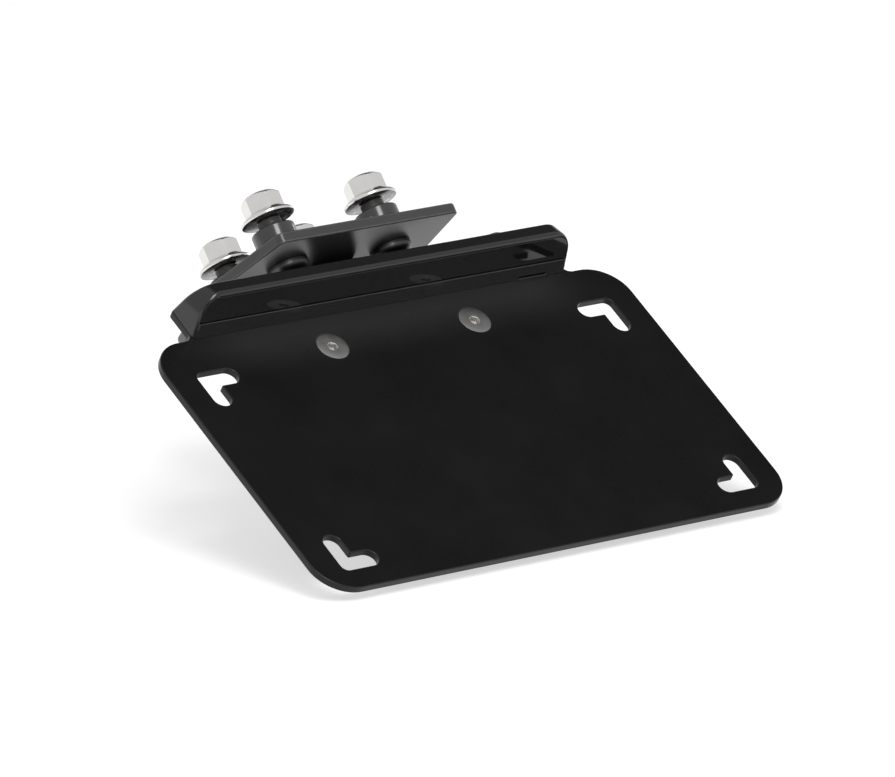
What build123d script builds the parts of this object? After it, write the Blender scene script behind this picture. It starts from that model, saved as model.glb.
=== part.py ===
from build123d import *
from math import atan2, cos, radians, sin, sqrt, tan
import os

os.makedirs("parts", exist_ok=True)

# Tail tidy: a number-plate holder with a plate-light hood, hung under a motorcycle's tail
# Millimetres, +Z up. The origin is the middle of the four studs, level with the collar tops.

# Number-plate holder: one flat sheet
plate_width = 178.0
plate_height = 103.0
plate_thickness = 2.3
plate_corner_radius = 12.0
plate_tilt = 33.2

# L slots that take the bolts of the number plate
slot_width = 6.1
slot_arm = 14.0
slot_corner_radius = 2.2
slot_inner_radius = 0.5
slot_side_margin = 9.6
slot_top_margin = 13.0
slot_bottom_margin = 7.1

# Plate screws: countersunk, with a hexagon socket
plate_screw_spacing = 54.4
plate_screw_drop = 12.2
plate_screw_diameter = 5.0
plate_screw_head = 10.3
plate_screw_socket = 3.0
plate_screw_socket_depth = 1.85
plate_screw_clearance = 0.25
head_gap = 0.1

# Plate-light hood, along the top edge of the holder
hood_end_inset = 17.8
hood_length = plate_width - 2 * hood_end_inset
hood_reach = 15.0
hood_lean = 13.0
hood_lip = 5.6
hood_back_height = 12.9
hood_end_taper = 1.1
hood_corner_radius = 8.0
hood_edge_radius = 1.4
hood_wall = 1.6
tab_fillet_radius = 3.0

# Smoked cover, let into the underside of the hood, and the slit beside it
cover_thickness = 1.5
cover_inset = 0.3
cover_gap = 0.25
cover_start = 4.8
cover_lip = 1.7
cover_end_margin = 1.1
cover_corner_radius = 5.0
slit_length = 10.7
slit_width = 0.7
slit_depth = 1.2
slit_start = 0.5
slit_end_margin = 8.0

# Light unit inside the hood
light_chamber_depth = 4.6
light_chamber_margin = 1.2
light_chamber_corner = 1.4
board_thickness = 1.0
board_margin = 0.5
diode_size = 2.8
diode_height = 0.8
diode_count = 4
diode_spacing = 32.0
grommet_hole = 6.0
grommet_flange = 9.0
grommet_bore = 3.0
grommet_flange_height = 1.2
grommet_offset = 46.0
grommet_setback = 7.5

# Mounting bracket: flat plate under the tail, in the plane of the studs
bracket_thickness = 3.4
bracket_rear_width = 67.6
bracket_wide_width = 77.0
bracket_front_width = 50.0
bracket_rear_overhang = 19.3
bracket_wide_setback = 12.0
bracket_front_overhang = 25.0
bracket_rear_radius = 2.5
bracket_wide_radius = 12.0
bracket_front_radius = 8.0
bracket_edge_chamfer = 0.3
stud_lean = 20.4

# Where the top edge of the holder lies, from the rear studs and the bracket's upper face
edge_behind_studs = 9.7
edge_below_bracket = 24.8

# Stud pattern: rear pair, front pair
rear_spacing = 39.3
front_spacing = 29.7
row_gap = 33.1

# Each stud: shouldered bolt, collar, flange nut with a locking ring
shoulder_diameter = 7.4
thread_diameter = 6.0
stud_clearance = 0.1
bolt_head_diameter = 12.9
bolt_head_height = 3.9
bolt_head_edge = 0.9
bolt_head_dome = 1.1
bolt_socket = 4.0
bolt_socket_depth = 2.4
collar_diameter = 13.6
collar_height = 8.4
collar_edge = 0.35
panel_gap = 3.25
nut_flange_diameter = 16.8
nut_flange_rim = 1.1
nut_cone_height = 2.1
nut_across_flats = 11.0
nut_height = 8.2
nut_crown = 0.9
nut_crown_inset = 1.1
stud_end = 0.4
thread_start = 0.8
lock_ring_diameter = 8.2
lock_ring_height = 1.9
lock_ring_cover = 0.3

# Plate support: folded sheet between the bracket and the back of the holder
support_thickness = 3.0
support_edge_margin = 8.3
support_width = plate_screw_spacing + 2 * support_edge_margin
support_drop = 21.0
support_bend_radius = 3.0
support_front_overhang = 10.0
support_corner_radius = 5.0
support_neck_width = 16.0
support_neck_gap = 1.0
support_neck_end = 1.0
support_neck_radius = 3.0

# Nuts behind the holder, and the screws that hold the hood
plate_nut_flats = 8.0
plate_nut_height = 4.7
plate_washer_diameter = 10.0
plate_washer_thickness = 1.0
hood_screw_diameter = 4.0
hood_screw_height = 8.4
hood_screw_depth = 4.4
hood_screw_head = 7.6
hood_screw_head_height = 2.2
hood_screw_socket = 2.5

# Frames
x_axis = (1, 0, 0)
stud_angle = radians(plate_tilt + stud_lean)
face_angle = radians(plate_tilt)
lean = radians(hood_lean)

# tail_plane: X across, Y forwards along the bracket, Z up the studs
tail_plane = Plane(origin=(0, 0, 0), x_dir=x_axis, z_dir=(0, cos(stud_angle), sin(stud_angle)))
bracket_top = tail_plane.offset(-collar_height)
bracket_bottom = bracket_top.offset(-bracket_thickness)
rear_row = -row_gap / 2
front_row = row_gap / 2

# face_plane: X across, Y up the holder from its top edge, Z out of its front face
face_origin = tail_plane.from_local_coords(
    (0, rear_row - edge_behind_studs, -collar_height - edge_below_bracket)
)
face_plane = Plane(origin=face_origin, x_dir=x_axis, z_dir=(0, -sin(face_angle), cos(face_angle)))
back_plane = face_plane.offset(-plate_thickness)

# section_plane: X out of the holder's face, Y up the holder
section_plane = Plane(origin=face_origin, x_dir=face_plane.z_dir, z_dir=(-1, 0, 0))

# wall_plane: X across, Y outwards along the hood's underside, Z out of that underside
wall_normal = face_plane.z_dir * sin(lean) - face_plane.y_dir * cos(lean)
wall_plane = Plane(origin=face_origin, x_dir=x_axis, z_dir=wall_normal)

stud_places = {
    "rear_left": (-rear_spacing / 2, rear_row),
    "rear_right": (rear_spacing / 2, rear_row),
    "front_left": (-front_spacing / 2, front_row),
    "front_right": (front_spacing / 2, front_row),
}
sides = {"left": -1, "right": 1}


def save(item, name):
    item.part.label = name
    export_step(item.part, f"parts/{name}.step")


def shifted(plane, x, y, z=0.0):
    """The same plane with its origin moved to local (x, y, z)."""
    return Plane(origin=plane.from_local_coords((x, y, z)), x_dir=plane.x_dir, z_dir=plane.z_dir)


def profile_plane(plane):
    """Plane for half profiles: X is the radius and Y runs along the given plane's Z."""
    return Plane(origin=plane.origin, x_dir=plane.x_dir, z_dir=-plane.y_dir)


def centre_axis(plane):
    return Axis(plane.origin, plane.z_dir)


def in_section(y, z):
    """A point of the tail frame's middle plane, as (out of the holder's face, up the holder)."""
    point = section_plane.to_local_coords(tail_plane.from_local_coords((0, y, z)))
    return point.X, point.Y


# Number-plate holder
half_width = plate_width / 2
slot_x = half_width - slot_side_margin
slot_top = -slot_top_margin
slot_bottom = -plate_height + slot_bottom_margin


def slot_outline(side, corner_y, up):
    """Closed outline of one L slot: the outer corner at (side * slot_x, corner_y), arms to the middle."""
    radius = slot_width / 2
    outer_x = side * slot_x
    inner_x = side * (slot_x - slot_width)
    inner_y = corner_y - up * slot_width
    reach_x = side * (slot_x - slot_arm + radius)
    reach_y = corner_y - up * (slot_arm - radius)
    end_x = side * (slot_x - slot_arm)
    end_y = corner_y - up * slot_arm
    with BuildLine() as outline:
        Polyline((reach_x, inner_y), (inner_x, inner_y), (inner_x, reach_y))
        ThreePointArc((inner_x, reach_y), (outer_x - side * radius, end_y), (outer_x, reach_y))
        Polyline((outer_x, reach_y), (outer_x, corner_y), (reach_x, corner_y))
        ThreePointArc((reach_x, corner_y), (end_x, corner_y - up * radius), (reach_x, inner_y))
    return outline


with BuildPart() as plate_holder:
    with BuildSketch(back_plane) as sheet:
        with Locations((0, -plate_height / 2)):
            RectangleRounded(plate_width, plate_height, plate_corner_radius)
        with Locations((0, hood_back_height / 2)):
            Rectangle(hood_length, hood_back_height)
        roots = sheet.vertices().filter_by_position(Axis.Y, -0.01, 0.01)
        corners = [v for v in roots if abs(abs(v.X) - hood_length / 2) < 0.01]
        fillet(corners, tab_fillet_radius)
        top_corners = sheet.vertices().group_by(Axis.Y)[-1]
        fillet(top_corners, hood_edge_radius)
    extrude(amount=plate_thickness)
    with BuildSketch(face_plane) as slots:
        for side in (-1, 1):
            for corner_y, up in ((slot_top, 1), (slot_bottom, -1)):
                with BuildLine():
                    add(slot_outline(side, corner_y, up).line)
                make_face()
        outer = [v for v in slots.vertices() if abs(abs(v.X) - slot_x) < 0.01]
        outer = [v for v in outer if abs(v.Y - slot_top) < 0.01 or abs(v.Y - slot_bottom) < 0.01]
        fillet(outer, slot_corner_radius)
        inner = [v for v in slots.vertices() if abs(abs(v.X) - (slot_x - slot_width)) < 0.01]
        inner_rows = (slot_top - slot_width, slot_bottom + slot_width)
        inner = [v for v in inner if min(abs(v.Y - y) for y in inner_rows) < 0.01]
        fillet(inner, slot_inner_radius)
    extrude(amount=-plate_thickness, mode=Mode.SUBTRACT)
    screw_spots = [(side * plate_screw_spacing / 2, -plate_screw_drop) for side in (-1, 1)]
    hood_spots = [(side * plate_screw_spacing / 2, hood_screw_height) for side in (-1, 1)]
    with Locations(face_plane):
        with Locations(*screw_spots):
            CounterSinkHole(
                radius=plate_screw_diameter / 2 + plate_screw_clearance,
                counter_sink_radius=plate_screw_head / 2 + head_gap,
                counter_sink_angle=90,
            )
        with Locations(*hood_spots):
            Hole(radius=hood_screw_diameter / 2 + plate_screw_clearance)
save(plate_holder, "plate_holder")

# Mounting bracket
bracket_rear = rear_row - bracket_rear_overhang
bracket_wide = rear_row + bracket_wide_setback
bracket_front = front_row + bracket_front_overhang

with BuildPart() as mounting_bracket:
    with BuildSketch(bracket_bottom) as flat:
        with BuildLine():
            Polyline(
                (-bracket_rear_width / 2, bracket_rear),
                (bracket_rear_width / 2, bracket_rear),
                (bracket_wide_width / 2, bracket_wide),
                (bracket_front_width / 2, bracket_front),
                (-bracket_front_width / 2, bracket_front),
                (-bracket_wide_width / 2, bracket_wide),
                close=True,
            )
        make_face()
        rows = flat.vertices().group_by(Axis.Y)
        fillet(rows[0], bracket_rear_radius)
        rows = flat.vertices().group_by(Axis.Y)
        fillet(rows[-1], bracket_front_radius)
        wide = [v for v in flat.vertices() if abs(abs(v.X) - bracket_wide_width / 2) < 0.01]
        fillet(wide, bracket_wide_radius)
    extrude(amount=bracket_thickness)
    flat_faces = mounting_bracket.faces().filter_by(Axis(tail_plane.origin, tail_plane.z_dir))
    chamfer(flat_faces.edges(), bracket_edge_chamfer)
    with Locations(bracket_top):
        with Locations(*stud_places.values()):
            Hole(radius=shoulder_diameter / 2 + stud_clearance)
save(mounting_bracket, "mounting_bracket")

# Plate support: one flange behind the holder, one under the bracket
cone_at_back = plate_screw_head / 2 + head_gap - plate_thickness
support_front = front_row + support_front_overhang
under_z = -collar_height - bracket_thickness
outer_u, outer_v = in_section(rear_row, under_z)
inner_u, inner_v = in_section(rear_row, under_z - support_thickness)
rise = tan(radians(stud_lean))
front_u = -plate_thickness
rear_u = -plate_thickness - support_thickness
outer_corner = (front_u, outer_v - (front_u - outer_u) * rise)
inner_corner = (rear_u, inner_v - (rear_u - inner_u) * rise)

with BuildPart() as plate_support:
    with BuildSketch(section_plane) as fold:
        with BuildLine():
            Polyline(
                (front_u, -support_drop),
                outer_corner,
                in_section(support_front, under_z),
                in_section(support_front, under_z - support_thickness),
                inner_corner,
                (rear_u, -support_drop),
                close=True,
            )
        make_face()
        bend_outside = fold.vertices().sort_by_distance((*outer_corner, 0))[0]
        fillet(bend_outside, support_bend_radius + support_thickness)
        bend_inside = fold.vertices().sort_by_distance((*inner_corner, 0))[0]
        fillet(bend_inside, support_bend_radius)
    extrude(amount=support_width / 2, both=True)
    taper_end = bracket_front_width / 2
    with BuildSketch(tail_plane.offset(under_z)):
        with BuildLine():
            Polyline(
                (support_width / 2, support_neck_end),
                (support_width, support_neck_end),
                (support_width, support_front),
                (taper_end, support_front),
                close=True,
            )
        make_face()
        mirror(about=Plane.YZ)
    extrude(amount=-2 * support_thickness, mode=Mode.SUBTRACT)
    neck_start = hood_back_height + support_neck_gap
    for side in (-1, 1):
        with BuildSketch(section_plane.offset(side * support_neck_width / 2)):
            with BuildLine():
                Polyline(
                    (front_u + support_neck_gap, neck_start),
                    (front_u + support_neck_gap, outer_corner[1] + support_neck_gap),
                    in_section(support_neck_end, under_z + support_neck_gap),
                    in_section(support_neck_end, under_z - support_thickness - support_neck_gap),
                    (rear_u - support_neck_gap, neck_start),
                    close=True,
                )
            make_face()
        extrude(amount=side * support_width, mode=Mode.SUBTRACT)
    neck_ends = plate_support.edges().filter_by(Axis(face_origin, face_plane.z_dir))
    neck_ends += plate_support.edges().filter_by(Axis(tail_plane.origin, tail_plane.z_dir))
    fillet(
        [e for e in neck_ends if abs(abs(e.center().X) - support_neck_width / 2) < 0.01],
        support_neck_radius,
    )
    foot = plate_support.edges().filter_by(Axis(face_origin, face_plane.z_dir))
    foot = foot.sort_by(Axis(face_origin, face_plane.y_dir))[:2]
    fillet(foot, support_corner_radius)
    with Locations(tail_plane.offset(under_z)):
        with Locations(stud_places["front_left"], stud_places["front_right"]):
            Hole(radius=shoulder_diameter / 2 + stud_clearance, depth=2 * support_thickness)
    with Locations(back_plane):
        with Locations(*screw_spots):
            Hole(radius=cone_at_back + plate_screw_clearance, depth=2 * support_thickness)
        with Locations(*hood_spots):
            Hole(radius=hood_screw_diameter / 2 + plate_screw_clearance, depth=2 * support_thickness)
save(plate_support, "plate_support")

# Plate-light hood
tip = (hood_reach * cos(lean), hood_reach * sin(lean))
brow = (tip[0] - hood_lip * sin(lean), tip[1] + hood_lip * cos(lean))
half_hood = hood_length / 2
cover_half = half_hood - cover_end_margin
cover_end = hood_reach - cover_lip
cover_middle = (cover_start + cover_end) / 2
cover_width = cover_end - cover_start
cover_taper = hood_end_taper * cover_width / hood_reach
chamber_half = cover_half - cover_taper - light_chamber_margin
chamber_width = cover_width - 2 * light_chamber_margin
roof_angle = atan2(hood_back_height - brow[1], brow[0])
roof_plane = Plane(
    origin=section_plane.from_local_coords(
        (grommet_setback * cos(roof_angle), hood_back_height - grommet_setback * sin(roof_angle), 0)
    ),
    x_dir=x_axis,
    z_dir=face_plane.z_dir * sin(roof_angle) + face_plane.y_dir * cos(roof_angle),
)
grommet_plane = shifted(roof_plane, grommet_offset, 0)


def cover_outline(gap):
    """Cover outline in the open sketch: square along the holder, round at the outer corners."""
    inner_x = cover_half - gap
    outer_x = inner_x - cover_taper
    outline = Polygon(
        (-inner_x, cover_start + gap),
        (inner_x, cover_start + gap),
        (outer_x, cover_end - gap),
        (-outer_x, cover_end - gap),
        align=None,
    )
    fillet(outline.vertices().group_by(Axis.Y)[-1], cover_corner_radius - gap)


with BuildPart() as light_hood:
    with BuildSketch(section_plane):
        with BuildLine():
            Polyline((0, 0), tip, brow, (0, hood_back_height), close=True)
        make_face()
    extrude(amount=half_hood, both=True)
    with BuildSketch(wall_plane):
        with BuildLine():
            Polyline(
                (-half_hood, 0),
                (half_hood, 0),
                (half_hood - hood_end_taper, hood_reach),
                (hood_end_taper - half_hood, hood_reach),
                close=True,
            )
        make_face()
    extrude(amount=-hood_reach, mode=Mode.INTERSECT)
    lip_ends = light_hood.edges().filter_by(Axis(face_origin, wall_normal))
    fillet(lip_ends, hood_corner_radius)
    wall_face = light_hood.faces().sort_by(Axis(face_origin, wall_normal))[-1]
    back_face = light_hood.faces().sort_by(Axis(face_origin, face_plane.z_dir))[0]
    rim = [e for e in wall_face.edges() if back_face.distance_to(e.center()) > hood_edge_radius]
    roof_face = light_hood.faces().sort_by(Axis(roof_plane.origin, roof_plane.z_dir))[-1]
    ridge = [e for e in roof_face.edges() if back_face.distance_to(e.center()) > hood_edge_radius]
    fillet(rim + ridge, hood_edge_radius)
    with BuildSketch(wall_plane):
        cover_outline(0)
    extrude(amount=-cover_inset - cover_thickness, mode=Mode.SUBTRACT)
    with BuildSketch(wall_plane):
        with Locations((0, cover_middle)):
            RectangleRounded(2 * chamber_half, chamber_width, light_chamber_corner)
    extrude(amount=-light_chamber_depth, mode=Mode.SUBTRACT)
    with BuildSketch(wall_plane):
        with Locations((half_hood - slit_end_margin - slit_length / 2, slit_start + slit_width / 2)):
            Rectangle(slit_length, slit_width)
    extrude(amount=-slit_depth, mode=Mode.SUBTRACT)
    with BuildSketch(face_plane):
        with Locations(*hood_spots):
            Circle(hood_screw_diameter / 2 + head_gap)
    extrude(amount=hood_screw_depth, mode=Mode.SUBTRACT)
    with BuildSketch(grommet_plane):
        Circle(grommet_hole / 2)
    extrude(amount=-hood_lip, mode=Mode.SUBTRACT)
save(light_hood, "light_hood")

# Smoked cover
with BuildPart() as light_cover:
    with BuildSketch(wall_plane.offset(-cover_inset)):
        cover_outline(cover_gap)
    extrude(amount=-cover_thickness)
save(light_cover, "light_cover")

# Light unit: board and diodes on the roof of the chamber
board_face = wall_plane.offset(board_thickness - light_chamber_depth)
board_length = 2 * (chamber_half - light_chamber_corner - board_margin)

with BuildPart() as light_board:
    with BuildSketch(board_face):
        with Locations((0, cover_middle)):
            Rectangle(board_length, chamber_width - 2 * board_margin)
    extrude(amount=-board_thickness)
save(light_board, "light_board")

with BuildPart() as light_diodes:
    with BuildSketch(board_face):
        with Locations((0, cover_middle)):
            with GridLocations(diode_spacing, 1, diode_count, 1):
                Rectangle(diode_size, diode_size)
    extrude(amount=diode_height)
save(light_diodes, "light_diodes")

# Rubber grommet for the light's lead, in the hood's roof
with BuildPart() as lead_grommet:
    with BuildSketch(grommet_plane):
        Circle(grommet_flange / 2)
    extrude(amount=grommet_flange_height)
    flange_top = lead_grommet.faces().sort_by(Axis(grommet_plane.origin, grommet_plane.z_dir))[-1]
    chamfer(flange_top.edges(), grommet_flange_height / 2)
    with BuildSketch(grommet_plane):
        Circle(grommet_hole / 2 - head_gap)
    extrude(amount=-hood_wall * 2)
    with BuildSketch(grommet_plane.offset(grommet_flange_height)):
        Circle(grommet_bore / 2)
    extrude(amount=-grommet_flange_height - hood_wall * 2, mode=Mode.SUBTRACT)
save(lead_grommet, "lead_grommet")

# Countersunk plate screws, their washers and nuts
plate_stack = plate_thickness + support_thickness + plate_washer_thickness + plate_nut_height
screw_radius = plate_screw_diameter / 2
sink_depth = plate_screw_head / 2 - screw_radius

for side_name, side in sides.items():
    spot = shifted(face_plane, side * plate_screw_spacing / 2, -plate_screw_drop)
    with BuildPart() as plate_screw:
        with BuildSketch(profile_plane(spot)):
            with BuildLine():
                Polyline(
                    (0, 0),
                    (plate_screw_head / 2, 0),
                    (plate_screw_head / 2, -head_gap),
                    (screw_radius, -sink_depth - head_gap),
                    (screw_radius, -plate_stack - thread_start),
                    (0, -plate_stack - thread_start),
                    close=True,
                )
            make_face()
        revolve(axis=centre_axis(spot))
        with BuildSketch(spot):
            RegularPolygon(radius=plate_screw_socket / 2, side_count=6, major_radius=False)
        extrude(amount=-plate_screw_socket_depth, mode=Mode.SUBTRACT)
    save(plate_screw, f"plate_screw_{side_name}")

    washer_plane = spot.offset(-plate_thickness - support_thickness)
    with BuildPart() as plate_washer:
        with BuildSketch(washer_plane):
            Circle(plate_washer_diameter / 2)
            Circle(screw_radius + plate_screw_clearance, mode=Mode.SUBTRACT)
        extrude(amount=-plate_washer_thickness)
    save(plate_washer, f"plate_washer_{side_name}")

    with BuildPart() as plate_nut:
        with BuildSketch(washer_plane.offset(-plate_washer_thickness)):
            RegularPolygon(radius=plate_nut_flats / 2, side_count=6, major_radius=False)
            Circle(screw_radius + stud_clearance, mode=Mode.SUBTRACT)
        extrude(amount=-plate_nut_height)
    save(plate_nut, f"plate_nut_{side_name}")

    screw_plane = shifted(back_plane, side * plate_screw_spacing / 2, hood_screw_height, -support_thickness)
    with BuildPart() as hood_screw:
        with BuildSketch(screw_plane):
            Circle(hood_screw_head / 2)
        extrude(amount=-hood_screw_head_height)
        head_face = hood_screw.faces().sort_by(Axis(screw_plane.origin, screw_plane.z_dir))[0]
        chamfer(head_face.edges(), hood_screw_head_height / 2)
        with BuildSketch(screw_plane):
            Circle(hood_screw_diameter / 2)
        extrude(amount=support_thickness + plate_thickness + hood_screw_depth - head_gap)
        with BuildSketch(screw_plane.offset(-hood_screw_head_height)):
            RegularPolygon(radius=hood_screw_socket / 2, side_count=6, major_radius=False)
        extrude(amount=hood_screw_head_height / 2, mode=Mode.SUBTRACT)
    save(hood_screw, f"hood_screw_{side_name}")

# Studs: shouldered bolt from below, collar on the bracket, flange nut with its locking ring
shoulder_radius = shoulder_diameter / 2
thread_radius = thread_diameter / 2
head_radius = bolt_head_diameter / 2
flange_radius = nut_flange_diameter / 2
nut_corner = nut_across_flats / sqrt(3)
ring_radius = lock_ring_diameter / 2
ring_top = nut_height - lock_ring_cover
ring_bottom = ring_top - lock_ring_height

for stud, (stud_x, stud_y) in stud_places.items():
    clamped = bracket_thickness
    if stud_y > 0:
        clamped += support_thickness
    seat = shifted(tail_plane, stud_x, stud_y, -collar_height - clamped)
    shoulder_length = clamped + collar_height + panel_gap
    bolt_length = shoulder_length + nut_height + stud_end
    with BuildPart() as mount_bolt:
        with BuildSketch(profile_plane(seat)):
            with BuildLine():
                Polyline(
                    (0, -bolt_head_height),
                    (bolt_socket, -bolt_head_height),
                    (head_radius - bolt_head_dome, -bolt_head_height + bolt_head_edge),
                    (head_radius, -bolt_head_edge),
                    (head_radius, 0),
                    (shoulder_radius, 0),
                    (shoulder_radius, shoulder_length),
                    (thread_radius, shoulder_length),
                    (thread_radius, bolt_length - stud_end),
                    (thread_radius - stud_end, bolt_length),
                    (0, bolt_length),
                    (0, -bolt_head_height),
                )
            make_face()
        revolve(axis=centre_axis(seat))
        with BuildSketch(seat.offset(-bolt_head_height)):
            RegularPolygon(radius=bolt_socket / 2, side_count=6, major_radius=False)
        extrude(amount=bolt_socket_depth, mode=Mode.SUBTRACT)
    save(mount_bolt, f"mount_bolt_{stud}")

    collar_seat = shifted(bracket_top, stud_x, stud_y)
    with BuildPart() as collar:
        with BuildSketch(collar_seat):
            Circle(collar_diameter / 2)
            Circle(shoulder_radius + stud_clearance, mode=Mode.SUBTRACT)
        extrude(amount=collar_height)
        ends = collar.faces().filter_by(Axis(collar_seat.origin, collar_seat.z_dir))
        chamfer([face.outer_wire().edges() for face in ends], collar_edge)
    save(collar, f"collar_{stud}")

    nut_seat = shifted(tail_plane, stud_x, stud_y, panel_gap)
    with BuildPart() as flange_nut:
        with BuildSketch(nut_seat):
            RegularPolygon(radius=nut_across_flats / 2, side_count=6, major_radius=False)
        extrude(amount=nut_height)
        with BuildSketch(profile_plane(nut_seat)):
            with BuildLine():
                Polyline(
                    (0, 0),
                    (flange_radius, 0),
                    (flange_radius, nut_height - nut_crown),
                    (nut_corner, nut_height - nut_crown),
                    (nut_corner - nut_crown_inset, nut_height),
                    (0, nut_height),
                    close=True,
                )
            make_face()
        revolve(axis=centre_axis(nut_seat), mode=Mode.INTERSECT)
        with BuildSketch(profile_plane(nut_seat)):
            with BuildLine():
                Polyline(
                    (0, 0),
                    (flange_radius, 0),
                    (flange_radius, nut_flange_rim),
                    (nut_corner, nut_cone_height),
                    (0, nut_cone_height),
                    close=True,
                )
            make_face()
        revolve(axis=centre_axis(nut_seat))
        with BuildSketch(profile_plane(nut_seat)):
            with BuildLine():
                Polyline(
                    (0, 0),
                    (thread_radius + stud_clearance, 0),
                    (thread_radius + stud_clearance, ring_bottom),
                    (ring_radius, ring_bottom),
                    (ring_radius, nut_height),
                    (0, nut_height),
                    close=True,
                )
            make_face()
        revolve(axis=centre_axis(nut_seat), mode=Mode.SUBTRACT)
    save(flange_nut, f"flange_nut_{stud}")

    with BuildPart() as lock_ring:
        with BuildSketch(nut_seat.offset(ring_bottom)):
            Circle(ring_radius - head_gap)
            Circle(thread_radius + head_gap / 2, mode=Mode.SUBTRACT)
        extrude(amount=lock_ring_height - head_gap)
    save(lock_ring, f"lock_ring_{stud}")
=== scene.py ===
from math import atan, cos, pi, radians, sin, sqrt, tan

import bmesh
import bpy
from mathutils import Matrix, Vector


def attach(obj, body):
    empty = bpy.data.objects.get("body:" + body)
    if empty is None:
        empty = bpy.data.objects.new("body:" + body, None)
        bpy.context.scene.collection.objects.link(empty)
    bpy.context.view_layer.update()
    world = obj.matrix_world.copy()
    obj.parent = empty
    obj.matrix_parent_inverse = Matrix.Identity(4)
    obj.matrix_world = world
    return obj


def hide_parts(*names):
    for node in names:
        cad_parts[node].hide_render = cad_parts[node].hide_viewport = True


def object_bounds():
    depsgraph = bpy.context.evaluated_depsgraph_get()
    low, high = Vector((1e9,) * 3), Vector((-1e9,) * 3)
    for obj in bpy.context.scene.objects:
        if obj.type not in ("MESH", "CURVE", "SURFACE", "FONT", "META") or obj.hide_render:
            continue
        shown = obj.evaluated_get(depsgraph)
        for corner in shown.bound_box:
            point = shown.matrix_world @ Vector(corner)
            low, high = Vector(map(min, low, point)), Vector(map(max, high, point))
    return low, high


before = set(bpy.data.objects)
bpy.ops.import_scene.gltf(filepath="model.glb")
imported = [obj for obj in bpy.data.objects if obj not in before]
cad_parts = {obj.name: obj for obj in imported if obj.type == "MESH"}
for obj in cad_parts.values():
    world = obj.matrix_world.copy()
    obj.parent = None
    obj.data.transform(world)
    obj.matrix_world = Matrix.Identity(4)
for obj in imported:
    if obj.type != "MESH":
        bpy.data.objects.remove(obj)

bl_info = {
    "name": "Tail tidy",
    "version": (1, 0, 0),
    "blender": (4, 5, 0),
    "location": "View3D > Sidebar > Tail tidy",
    "description": "Builds the looks of a number-plate holder with its light hood, bracket and studs",
    "category": "Object",
}

CAD_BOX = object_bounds()
MM = 0.001

# Angles and places of the CAD model, in millimetres and degrees
HOLDER_TILT = 33.2
STUD_LEAN = 20.4
EDGE_BEHIND = 26.25
EDGE_BELOW = 33.2
COLLAR_TOP_TO_BRACKET = 8.4
BRACKET_THICKNESS = 3.4
SUPPORT_THICKNESS = 3.0
PLATE_THICKNESS = 2.3
FRONT_ROW = 16.55

# Heights along a stud, from the top of its collar
NUT_SEAT = 3.25
RING_SEAT = 9.25
STUD_END = 11.85
THREAD_BOTTOM = -0.5
THREAD_TOP = 3.2

# Places on the holder, from its top edge
PLATE_SCREWS_UP = -12.2
HOOD_SCREWS_UP = 8.4
HOLDER_MIDDLE_UP = -51.47

# A mark on faces: the rounded edges of a coated piece, lightened as rubbed coat and as painted highlight, or
# the faces that take a metal's second colour
EDGE_MARK = "rounded_edge"

# Cleaning of the copied solids: merged corners, flattened triangles, and what counts as a large flat face
MERGE_DISTANCE = 0.002 * MM
FLAT_ANGLE = 0.3
SHARP_MARGIN = 4
LARGE_FACE = 120 * MM * MM

# The painted sheen on the holder, a lighter band painted in below the hood where soft light falls: down from
# its top edge, and out to either side of the middle
SHEEN_FROM, SHEEN_TO = 4 * MM, 21 * MM
SHEEN_FULL_HALF, SHEEN_HALF = 52 * MM, 82 * MM
PAINTED_SHEEN_COLOUR = (0.062, 0.062, 0.062)

# Noise keeps mostly between these two values
NOISE_LOW, NOISE_HIGH = 0.3, 0.7
PEEL_DEPTH = 0.03 * MM
GRAIN_DEPTH = 0.02 * MM

# The floor lies this far below the object, and glows this much for the camera and in reflections
FLOOR_GAP = 2.4 * MM
FLOOR_HALF = 6.0
FLOOR_GLOW = 0.57

# Dark part of the surroundings that the black faces mirror: its middle, and the cosines of its soft edge
DARK_SKY = (0.536, 0.487, 0.690)
DARK_OUTER, DARK_INNER = 0.80, 0.88

KEY_PLACE = (-0.48, -0.94, 1.2)
KEY_TARGET = (0, -0.03, 0.0)
KEY_SIZE = (0.5, 1.1)

# Camera fitted to the photograph: its axes in the model's frame, its distance, and lengths in pixels
CAMERA_AXES = ((0.7688, -0.63949, 0.0), (0.14901, 0.17919, 0.97246), (-0.62188, -0.74763, 0.23305))
CAMERA_DISTANCE = 2.694
FOCAL_PIXELS = 9160.2
SHIFT_PIXELS = (27.6, 35.2)
PHOTO_WIDTH = 895
SENSOR = 36.0

STUDS = ("rear_left", "rear_right", "front_left", "front_right")
SIDES = ("left", "right")


def tail_matrix():
    """Frame of the studs: X across, Y forwards along the bracket, Z up the studs."""
    return Matrix.Rotation(radians(HOLDER_TILT + STUD_LEAN) - pi / 2, 4, "X")


def face_matrix():
    """Frame of the holder: X across, Y up from its top edge, Z out of its front face."""
    edge = tail_matrix() @ Vector((0, -EDGE_BEHIND * MM, -EDGE_BELOW * MM))
    return Matrix.Translation(edge) @ Matrix.Rotation(radians(HOLDER_TILT), 4, "X")


# Sizes and finishes a user can change

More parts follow.
